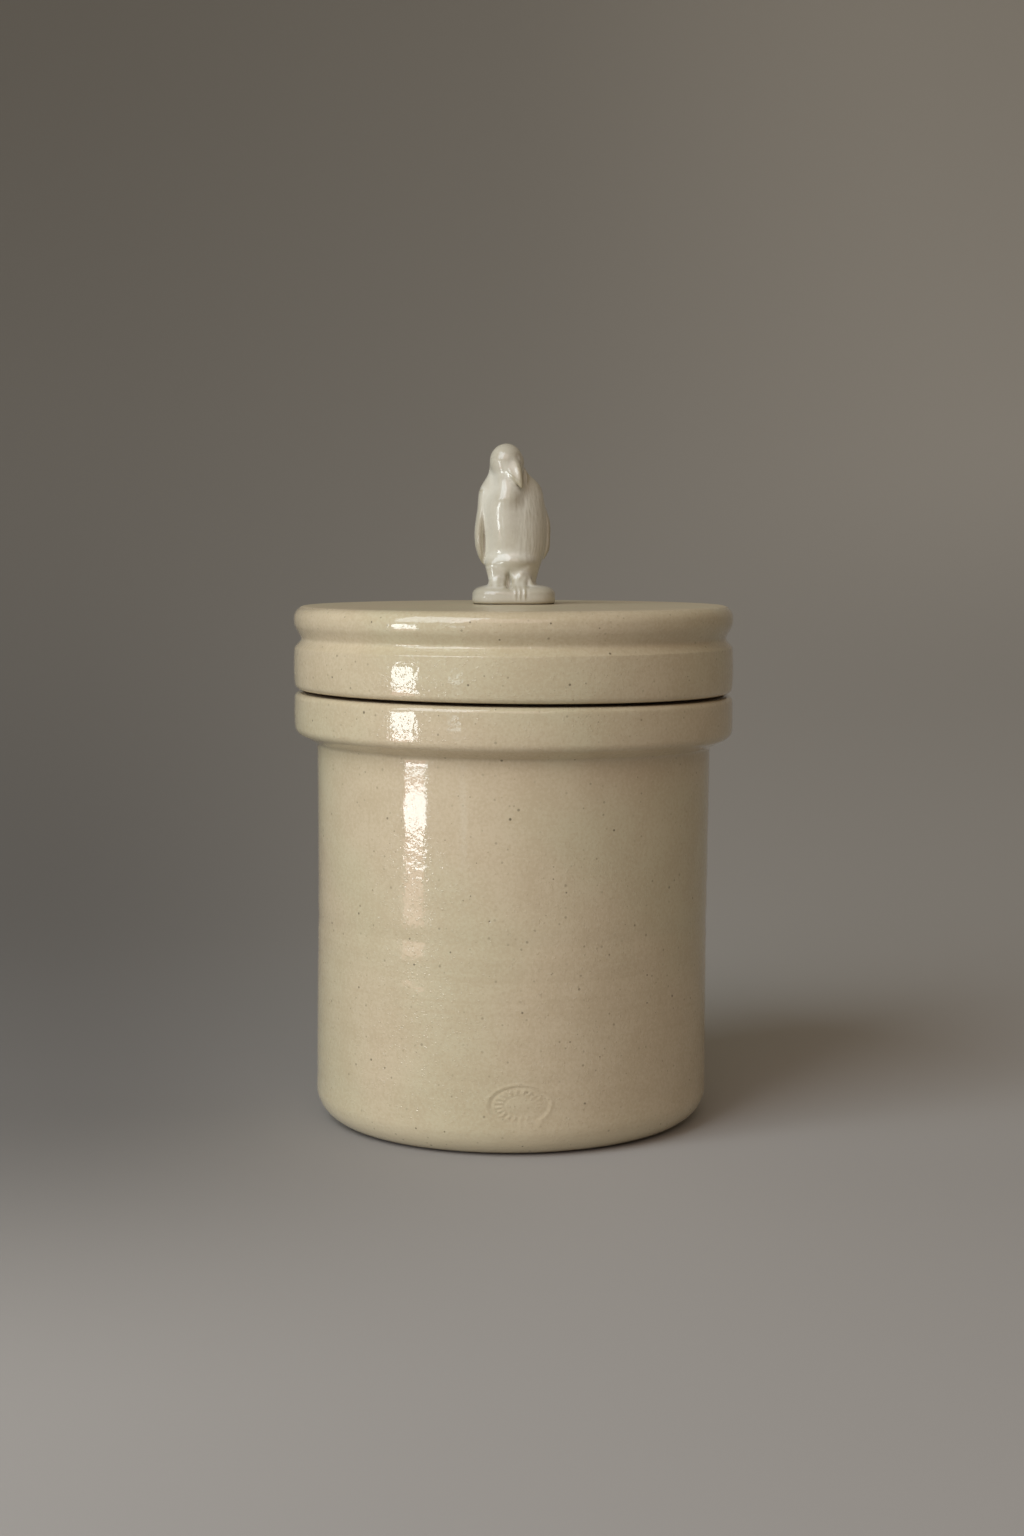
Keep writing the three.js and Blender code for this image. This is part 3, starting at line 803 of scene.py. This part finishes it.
def rod(stations, squash=(1, 1, 1)):
    """A tapering rod eased through [x, y, z, radius] stations. A small squash draws it out that way."""
    last = len(stations) - 1
    steps = np.linspace(0, last, ROD_STEPS * last + 1)
    line = np.stack([np.interp(steps, range(last + 1), column) for column in zip(*stations)], 1)
    for _ in range(ROD_EASINGS):
        line[1:-1] = 0.25 * line[:-2] + 0.5 * line[1:-1] + 0.25 * line[2:]
    line = [(step[:3], step[3]) for step in line]
    scale = np.array(squash, float)

    def distance(x, y, z):
        nearest = None
        for (a, ra), (b, rb) in zip(line, line[1:]):
            a, b = a * scale, b * scale
            way = b - a
            p = [x * scale[0] - a[0], y * scale[1] - a[1], z * scale[2] - a[2]]
            t = np.clip(sum(p[i] * way[i] for i in range(3)) / (way @ way), 0, 1)
            d = np.sqrt(sum((p[i] - way[i] * t) ** 2 for i in range(3))) - (ra + (rb - ra) * t)
            nearest = d if nearest is None else np.minimum(nearest, d)
        return nearest

    reach = max(r for _, r in line) / scale.min()
    points = np.array([p for p, _ in line])
    return distance, points.min(0) - reach, points.max(0) + reach


def oval_form(axes, stations, low, high):
    """A body of ovals up the stations, with their sizes eased from one to the next."""
    heights = axes[2]
    stations = np.array(stations)
    steps = np.arange(-OVAL_EASING_STEPS, OVAL_EASING_STEPS + 1)
    spread = np.exp(-((steps * CARVING_PITCH / OVAL_EASING) ** 2))
    spread /= spread.sum()
    curves = []
    for k in range(1, 5):
        line = np.interp(heights, stations[:, 0], stations[:, k])
        curves.append(np.convolve(np.pad(line, OVAL_EASING_STEPS, mode="edge"), spread, mode="valid"))

    def distance(x, y, z):
        level = [np.interp(z.ravel(), heights, curve)[None, None, :] for curve in curves]
        across, along = x - level[0], y - level[2]
        near = np.sqrt((across / level[1]) ** 2 + (along / level[3]) ** 2)
        steep = np.sqrt((across / level[1] ** 2) ** 2 + (along / level[3] ** 2) ** 2) + NOT_ZERO
        round_it = near * (near - 1) / steep
        ends = np.maximum(low - z, z - high)
        return -smooth_min(-round_it, -ends + 0 * round_it, OVAL_END_BLEND)

    return distance, (-13, -12, low - 1), (13, 12, high + 2)


PLINTH_HALF = (14.2, 12.5)
PLINTH_MEAN_HALF = 12.6
PLINTH_WIDEST = 2.2
PLINTH_TOP = 4.5
PLINTH_CROWN = 2.0


def plinth_form():
    """The oval plinth: a low wall with a soft rim, a crown that swells up to the feet and a flat bottom."""

    def distance(x, y, z):
        reach = (np.abs(x / PLINTH_HALF[0]) ** 3 + np.abs(y / PLINTH_HALF[1]) ** 3) ** (1 / 3)
        side = (reach - 1) * PLINTH_MEAN_HALF + 0.05 * (z - PLINTH_WIDEST) ** 2
        rise = z - PLINTH_TOP - PLINTH_CROWN * np.clip(1 - reach**4, 0, 1)
        return np.maximum(-smooth_min(-side, -rise, 1.4), -z)

    return distance, (-14.4, -12.7, -0.2), (14.4, 12.7, 8.0)


def carve_head(block):
    """The head, bowed and turned, its nape behind it, and a hollow between the brow and the right cheek."""
    block.add(egg((-2.45, -3.0, 48.1), (5.6, 6.2, 5.75)), 1.4)
    block.add(egg((-2.2, 1.0, 44.8), (5.3, 4.9, 5.2)), 2.2)
    block.add(egg((2.1, -3.4, 47.6), (1.3, 1.9, 2.2)), 0.8)
    block.cut(egg((1.9, -8.1, 48.3), (0.8, 1.3, 1.7)), 0.9)


def carve_bill(block):
    """The bill, a deep wedge from the brow onto the breast, and the gap between it and the right shoulder."""
    ridge = [
        (0.4, -7.0, 47.0, 1.7),
        (1.6, -8.5, 44.8, 1.3),
        (2.05, -9.2, 42.8, 1.05),
        (2.35, -9.6, 41.0, 0.75),
        (2.75, -9.7, 39.1, 0.4),
    ]
    flank = [
        (-1.2, -6.5, 46.0, 2.0),
        (-0.7, -8.0, 44.2, 1.6),
        (0.1, -8.9, 42.6, 1.25),
        (1.2, -9.3, 41.1, 0.85),
        (2.2, -9.6, 39.8, 0.5),
    ]
    block.add(rod(flank), 1.3)
    block.add(rod(ridge), 1.1)
    gap = [(3.9, -1.8, 45.0, 0.5), (3.95, -2.9, 44.0, 0.7), (3.95, -4.2, 42.0, 0.7), (3.9, -5.3, 40.2, 0.3)]
    block.cut(rod(gap), 0.5)


LEFT_FLIPPER = [
    (-10.2, 0.4, 37.5, 1.6),
    (-10.5, 0.2, 34.0, 1.7),
    (-10.7, 0.0, 31.0, 1.75),
    (-11.15, -0.2, 28.5, 1.75),
    (-11.65, -0.4, 25.0, 1.7),
    (-11.75, -0.5, 22.6, 1.65),
    (-11.6, -0.5, 19.3, 1.55),
    (-10.85, -0.2, 15.9, 1.25),
    (-10.1, 0.3, 13.9, 0.75),
]
RIGHT_FLIPPER = [
    (8.6, 2.4, 36.5, 1.4),
    (9.3, 2.6, 33.0, 1.35),
    (10.1, 2.7, 31.0, 1.3),
    (11.2, 2.7, 27.5, 1.3),
    (11.45, 2.7, 25.0, 1.25),
    (11.35, 2.7, 19.3, 1.15),
    (10.9, 2.7, 17.5, 1.05),
    (9.9, 2.8, 15.5, 0.75),
]


def carve_flippers(block):
    """The flippers, held close, with a crease before the right one and a soft hollow beside the breast."""
    block.add(rod(LEFT_FLIPPER, (1.0, 0.4, 1.0)), 0.45)
    block.add(rod(RIGHT_FLIPPER, (1.0, 0.34, 1.0)), 0.45)
    crease = [
        (11.0, -0.7, 29.5, 0.1),
        (11.35, -0.9, 26.0, 0.5),
        (11.45, -0.9, 22.5, 0.6),
        (11.35, -0.9, 19.5, 0.6),
        (10.8, -0.6, 16.8, 0.35),
    ]
    block.cut(rod(crease), 0.3)
    block.cut(rod([(4.6, -8.9, 37.0, 0.1), (6.3, -9.0, 32.7, 0.2), (8.1, -8.1, 29.5, 0.1)]), 2.0)


def carve_legs(block):
    """The legs, and the apron of the belly that hangs over them with a fold under it."""
    block.add(rod([(-5.6, -3.6, 12.5, 4.0), (-5.6, -4.4, 8.5, 2.95), (-5.6, -4.9, 6.0, 2.9)]), 1.2)
    block.add(rod([(2.8, -3.6, 12.5, 4.0), (2.6, -4.4, 8.5, 3.3), (2.7, -4.9, 6.0, 3.2)]), 1.2)
    block.add(egg((0.3, -3.4, 13.9), (7.0, 6.1, 3.0)), 1.6)
    fold = [(-4.6, -8.9, 11.6), (-1.8, -9.6, 10.7), (1.5, -9.6, 10.9), (4.8, -8.6, 12.0)]
    block.cut(rod([(*spot, 0.1) for spot in fold]), 1.6)


TOES = [
    [(-6.9, -6.4, 6.6, 1.4), (-7.3, -8.2, 5.4, 1.1)],
    [(-5.0, -6.9, 7.4, 1.3), (-5.0, -9.0, 5.4, 1.1)],
    [(-3.3, -6.4, 7.0, 1.1), (-3.1, -8.4, 5.5, 1.0)],
    [(0.2, -6.8, 8.4, 1.1), (0.1, -8.6, 6.0, 1.1), (0.6, -10.2, 5.0, 0.9)],
    [(2.6, -7.2, 9.3, 1.1), (1.6, -8.8, 6.4, 1.1), (2.2, -10.3, 5.0, 0.9)],
    [(3.9, -7.0, 8.2, 1.0), (3.2, -8.8, 6.2, 1.0), (3.8, -10.2, 5.0, 0.9)],
    [(5.4, -6.4, 7.6, 0.9), (5.9, -7.6, 6.1, 1.0)],
]
CLAWS_ACROSS = (0.8, 2.25, 3.9)


def carve_feet(block):
    """Soft toes on the left foot, knuckles, tendons and claws on the right one, and the gap between them."""
    for toe in TOES:
        block.add(rod(toe), 1.2)
    for x in CLAWS_ACROSS:
        claw = [(x - 0.1, -10.6, 5.1, 0.6), (x, -11.9, 4.1, 0.5), (x, -12.3, 2.6, 0.4), (x, -12.2, 1.3, 0.2)]
        block.add(rod(claw), 0.4)
    block.cut(egg((-1.75, -8.6, 7.6), (0.9, 3.8, 3.0)), 1.1)


def carve_tail(block):
    """The tail, a stiff wedge that rests on the plinth behind."""
    wedge = [(-0.2, 7.2, 13.5, 2.6), (-0.1, 9.0, 9.5, 2.0), (0.0, 10.6, 6.4, 1.3)]
    block.add(rod(wedge, (0.75, 1.0, 1.0)), 1.2)


def carve_penguin():
    """The whole figure, from the trunk out."""
    block = Carving(CARVING_LOW, CARVING_HIGH, CARVING_PITCH)
    block.add(oval_form(block.axes, TRUNK, 5.0, 48.2), 0.5)
    block.add(oval_form(block.axes, BREAST, 18.0, 47.0), 1.8)
    carve_head(block)
    carve_bill(block)
    carve_flippers(block)
    carve_legs(block)
    block.add(plinth_form(), 1.4)
    carve_feet(block)
    carve_tail(block)
    return block


def shell_of(block):
    """The surface where the carving's distances cross nothing, as points and four-sided faces."""
    field, low, pitch = block.field, block.low, block.pitch
    corners = [(i, j, k) for i in (0, 1) for j in (0, 1) for k in (0, 1)]
    nx, ny, nz = (n - 1 for n in field.shape)
    inside = field < 0
    count = sum(inside[i : i + nx, j : j + ny, k : k + nz].astype(np.int8) for i, j, k in corners)
    cells = np.argwhere((count > 0) & (count < 8))
    number = np.full((nx, ny, nz), -1, np.int64)
    number[tuple(cells.T)] = np.arange(len(cells))
    values = np.stack([field[tuple((cells + c).T)] for c in corners], 1)
    total, hits = np.zeros((len(cells), 3)), np.zeros(len(cells))
    for a, first in enumerate(corners):
        for b, second in enumerate(corners):
            if sum(second) - sum(first) != 1 or any(q < p for p, q in zip(first, second)):
                continue
            crossed = (values[:, a] < 0) != (values[:, b] < 0)
            t = values[crossed, a] / (values[crossed, a] - values[crossed, b])
            total[crossed] += np.array(first) + (np.array(second) - np.array(first)) * t[:, None]
            hits[crossed] += 1
    points = low + pitch * (cells + total / hits[:, None])
    faces = []
    for axis in range(3):
        step = np.eye(3, dtype=int)[axis]
        u, v = np.eye(3, dtype=int)[(axis + 1) % 3], np.eye(3, dtype=int)[(axis + 2) % 3]
        size = [n - step[i] for i, n in enumerate(field.shape)]
        here = inside[: size[0], : size[1], : size[2]]
        there = inside[step[0] :, step[1] :, step[2] :]
        edges = np.argwhere(here != there)
        out = here[tuple(edges.T)]
        ring = [number[tuple((edges - s).T)] for s in (u + v, v, 0 * u, u)]
        ring = np.stack(ring, 1)
        ring[~out] = ring[~out][:, ::-1]
        faces.append(ring)
    return points, np.concatenate(faces)


def field_at(block, values, points):
    """The block's values between its grid points."""
    at = (points - block.low) / block.pitch
    base = np.clip(np.floor(at).astype(int), 0, np.array(values.shape) - 2)
    f = at - base
    out = np.zeros(len(points))
    for i in (0, 1):
        for j in (0, 1):
            for k in (0, 1):
                weight = np.abs(1 - i - f[:, 0]) * np.abs(1 - j - f[:, 1]) * np.abs(1 - k - f[:, 2])
                out += weight * values[tuple((base + [i, j, k]).T)]
    return out


def softened(values, times):
    """The block's values averaged with their neighbours, so many times."""
    for _ in range(times):
        for axis in range(3):
            padded = np.pad(values, [(1, 1) if a == axis else (0, 0) for a in range(3)], mode="edge")
            n = values.shape[axis]
            take = [padded.take(range(k, k + n), axis=axis) for k in range(3)]
            values = 0.25 * take[0] + 0.5 * take[1] + 0.25 * take[2]
    return values


# settling the points onto the surface, in millimetres
SETTLINGS = 2
LONGEST_SETTLING = 0.2
LEAST_SLOPE = 0.2

PLUMAGE_DEPTH = 0.06
PLUMAGE_HEIGHTS = (11, 44)
PLUMAGE_FADE = 6
HOLLOW_SOFTENING = 8


def porcelain_figure():
    """The carving as a mesh in metres, its points settled onto the surface, with plumage and its hollows
    marked for pooled glaze and painted shade.
    """
    block = carve_penguin()
    points, faces = shell_of(block)
    slopes = np.gradient(block.field, block.pitch)
    for _ in range(SETTLINGS):
        slope = np.stack([field_at(block, s, points) for s in slopes], 1)
        steep = np.maximum((slope**2).sum(1), LEAST_SLOPE)
        off = np.clip(field_at(block, block.field, points) / steep, -LONGEST_SETTLING, LONGEST_SETTLING)
        points -= off[:, None] * slope
    normal = np.stack([field_at(block, s, points) for s in slopes], 1)
    normal /= np.linalg.norm(normal, axis=1)[:, None]

    # the plumage: shallow strokes that run down the breast, deeper towards the right
    x, y, z = points.T
    low, high = PLUMAGE_HEIGHTS
    plumage = np.clip((z - low) / PLUMAGE_FADE, 0, 1) * np.clip((high - z) / PLUMAGE_FADE, 0, 1)
    fine = np.array([noise.noise((p[0] * 1.6, p[1] * 1.6, p[2] * 0.35)) for p in points])
    coarse = np.array([noise.noise((p[0] * 0.8 + 9, p[1] * 0.8, p[2] * 0.16)) for p in points])
    right = np.clip((x + 4) / 8, 0.25, 1)
    points += normal * (plumage * right * (PLUMAGE_DEPTH * fine + PLUMAGE_DEPTH * coarse))[:, None]

    around = field_at(block, softened(block.field, HOLLOW_SOFTENING), points)
    mesh = bpy.data.meshes.new("porcelain_penguin")
    mesh.from_pydata((points / 1000 + [0, 0, FIGURE_FOOT]).tolist(), [], faces.tolist())
    # how hollow each point is, which the glaze paints dark: partly pooled glaze, partly painted shade
    mark(mesh, "pooling_and_shade", around - field_at(block, block.field, points))
    mesh.shade_smooth()
    return mesh


PORCELAIN = (0.640, 0.610, 0.500, 1)
PORCELAIN_PALE = (0.670, 0.640, 0.535, 1)
PORCELAIN_POOLED_AND_SHADED = (0.300, 0.245, 0.130, 1)
POOLING_AND_SHADE = (-0.05, 0.16)
PORCELAIN_SKIN = {
    "Grain Size": 0.002,
    "Grain Depth": 0.000013,
    "Speck Spacing": 0.006,
    "Speck Size": 0.0002,
    "Pit Spacing": 0.02,
    "Pit Size": 0.0002,
}


def porcelain_glaze():
    """White porcelain under a clear glaze that gathers in the hollows, where painted shade also darkens it
    brown.
    """
    material, tree, shader, where = new_material("porcelain_glaze")
    skin = placed(tree, glaze_skin, {"Where": where, **PORCELAIN_SKIN})
    pooling_and_shade = put(tree, "ShaderNodeAttribute", attribute_name="pooling_and_shade").outputs["Fac"]
    # the hollows painted dark brown: partly glaze that gathered there, partly painted shade
    pooled_and_shaded = calc(tree, "MULTIPLY", ease(tree, pooling_and_shade, *POOLING_AND_SHADE), 0.7)
    colour = mixed(tree, skin["Mottle"], PORCELAIN, PORCELAIN_PALE)
    colour = mixed(tree, pooled_and_shaded, colour, PORCELAIN_POOLED_AND_SHADED)
    colour = mixed(tree, calc(tree, "MULTIPLY", skin["Specks"], 0.5), colour, SPECK)
    gloss = calc(tree, "MULTIPLY_ADD", skin["Mottle"], 0.05, 0.09)
    feed(tree, shader, {"Base Color": colour, "Roughness": gloss})
    feed(tree, shader, {"Normal": in_relief(tree, skin["Height"]), "IOR": GLAZE_IOR})
    return material


penguin = in_scene("porcelain_penguin", porcelain_figure())
penguin.data.materials.append(porcelain_glaze())
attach(penguin, "lid")
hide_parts("penguin_finial")


# The studio: a sheet of pale paper bent up into a wide dish. It lies flat under the jar and sweeps up all
# round it, so that there is no horizon from any side.

DISH_FLOOR = 0.38
DISH_CURVE = 2.4
DISH_SIDES = 96
PAPER = (0.592, 0.562, 0.523, 1)
PALEST_SHADE = 1.3
PAPER_SPREAD = 1.6

# [from, to] in metres across or along, and where the two shades aren't nothing and one, those as well
# where the paper is painted darker as shade on the left, towards the back and at the front, and painted
# lighter at the far right
LEFT_ACROSS = (0.06, -0.16)
LEFT_ALONG = (-0.30, 0.02)
LEFT_FALLS_OFF = (0.3, 1.6, 0.52, 0.26)
RIGHT_ACROSS = (-0.05, 0.5)
RIGHT_ALONG = (0.9, 1.5, 0.0, 0.3)
FRONT_ALONG = (-0.12, 0.06, 0.91, 1.0)


def paper_dish():
    """The dish: a flat round floor, and an arc that rises all round it."""
    profile = [(0.0, 0.0), (0.2, 0.0), (DISH_FLOOR, 0.0)]
    for a in np.linspace(0.04, 1.1, 28):
        profile.append((DISH_FLOOR + DISH_CURVE * sin(a), DISH_CURVE - DISH_CURVE * cos(a)))
    turns = [2 * pi * k / DISH_SIDES for k in range(DISH_SIDES)]
    corners = [(r * cos(turn), r * sin(turn), z) for r, z in profile for turn in turns]
    faces = []
    for row in range(len(profile) - 1):
        inner, outer = row * DISH_SIDES, (row + 1) * DISH_SIDES
        for k in range(DISH_SIDES):
            after = (k + 1) % DISH_SIDES
            faces.append((inner + k, inner + after, outer + after, outer + k))
    mesh = bpy.data.meshes.new("paper_dish")
    mesh.from_pydata(corners, [], faces)
    mesh.shade_smooth()
    return mesh


def paper_with_painted_shade():
    """Pale paper with painted shade, darker on the left, towards the back and a little at the front, and
    painted light at the far right.
    """
    material, tree, shader, where = new_material("studio_paper_painted_shade")
    place = feed(tree, put(tree, "ShaderNodeSeparateXYZ"), {0: where}).outputs
    x, y = place["X"], place["Y"]
    spread = calc(tree, "MULTIPLY_ADD", calc(tree, "MAXIMUM", y, 0.0), PAPER_SPREAD, 1.0)
    spread = calc(tree, "DIVIDE", x, spread)
    left = calc(tree, "MULTIPLY", ease(tree, spread, *LEFT_ACROSS), ease(tree, y, *LEFT_ALONG))
    left = calc(tree, "MULTIPLY", left, ease(tree, y, *LEFT_FALLS_OFF))
    right = calc(tree, "MULTIPLY", ease(tree, x, *RIGHT_ACROSS), ease(tree, y, *RIGHT_ALONG))
    # painted shade and painted light over the paper's own colour
    shade = calc(tree, "SUBTRACT", calc(tree, "ADD", right, 1.0), left)
    shade = calc(tree, "MULTIPLY", shade, ease(tree, y, *FRONT_ALONG))
    colour = mixed(tree, calc(tree, "MULTIPLY", shade, 1 / PALEST_SHADE), (0, 0, 0, 1), PAPER)
    feed(tree, shader, {"Base Color": colour, "Roughness": 0.9, "Specular IOR Level": 0.2})
    return material


dish = in_scene("paper_dish", paper_dish())
dish.data.materials.append(paper_with_painted_shade())


# The light: a large soft box high on the left and a weaker one in front, in a pale room. Low on the left
# stand a window of two panes with its warm sill, the edge of a door and a lamp, and the glaze mirrors them
# as a bright streak down the jar and fainter ones beside it.

# name, degrees left of the camera, bottom, top, distance, width, strength, colour, degrees tipped down
PANELS = [
    ("window", 54.5, 0.0668, 0.17, 0.62, 0.145, 31.0, (0.90, 0.98, 1.0), 0),
    ("window_pane", 54.5, 0.029, 0.0565, 0.62, 0.145, 31.0, (0.90, 0.98, 1.0), 0),
    ("window_sill", 54.5, 0.0, 0.0846, 0.45, 0.098, 5.5, (1.0, 0.52, 0.45), 0),
    ("door_edge", 27.3, 0.0, 0.064, 0.62, 0.040, 1.8, (0.75, 0.95, 1.0), 0),
    ("lamp_glint", 27.3, 0.099, 0.137, 0.62, 0.055, 8.0, (0.75, 0.93, 1.0), 0),
    ("soft_box", 44, 0.42, 1.7, 1.25, 1.05, 12.4, (0.82, 0.91, 1.0), 35),
    ("front_light", 8, 0.5, 1.6, 1.5, 1.5, 4.2, (1.0, 0.78, 0.76), 30),
]
ROOM_COLOUR = (1.0, 0.87, 0.62, 1)
ROOM_STRENGTH = 0.204


def panel(name, azimuth, low, high, distance, width, strength, colour, tilt):
    """A light panel that faces the jar, and that the camera doesn't see."""
    data = bpy.data.lights.new(name, "AREA")
    data.shape, data.size, data.size_y = "RECTANGLE", width, high - low
    data.energy, data.color = strength * width * (high - low), colour
    light = in_scene(name, data)
    angle = radians(azimuth)
    light.location = (-distance * sin(angle), -distance * cos(angle), (low + high) / 2)
    light.rotation_euler = (pi / 2 - radians(tilt), 0, -angle)
    light.visible_camera = False


for sizes in PANELS:
    panel(*sizes)

world = bpy.data.worlds.new("pale_room")
world.use_nodes = True
bpy.context.scene.world = world
background = world.node_tree.nodes["Background"]
feed(world.node_tree, background, {"Color": ROOM_COLOUR, "Strength": ROOM_STRENGTH})


# The camera: a little above the lid and looking slightly down. Its place, its dip and its lens are those that
# lay the jar's outline over the one in the photograph.

CAMERA_PLACE = (-0.00055, -0.804, 0.1973)
CAMERA_DIP = radians(5.51)
SENSOR_HEIGHT = 36.0
LENS = 55.06

lens = bpy.data.cameras.new("view_of_the_jar")
lens.sensor_fit, lens.sensor_height, lens.lens = "VERTICAL", SENSOR_HEIGHT, LENS
lens.clip_start = 0.01
camera = in_scene("view_of_the_jar", lens)
camera.location = CAMERA_PLACE
camera.rotation_euler = (pi / 2 - CAMERA_DIP, 0, 0)
bpy.context.scene.camera = camera
bpy.context.scene.view_settings.view_transform = "Standard"
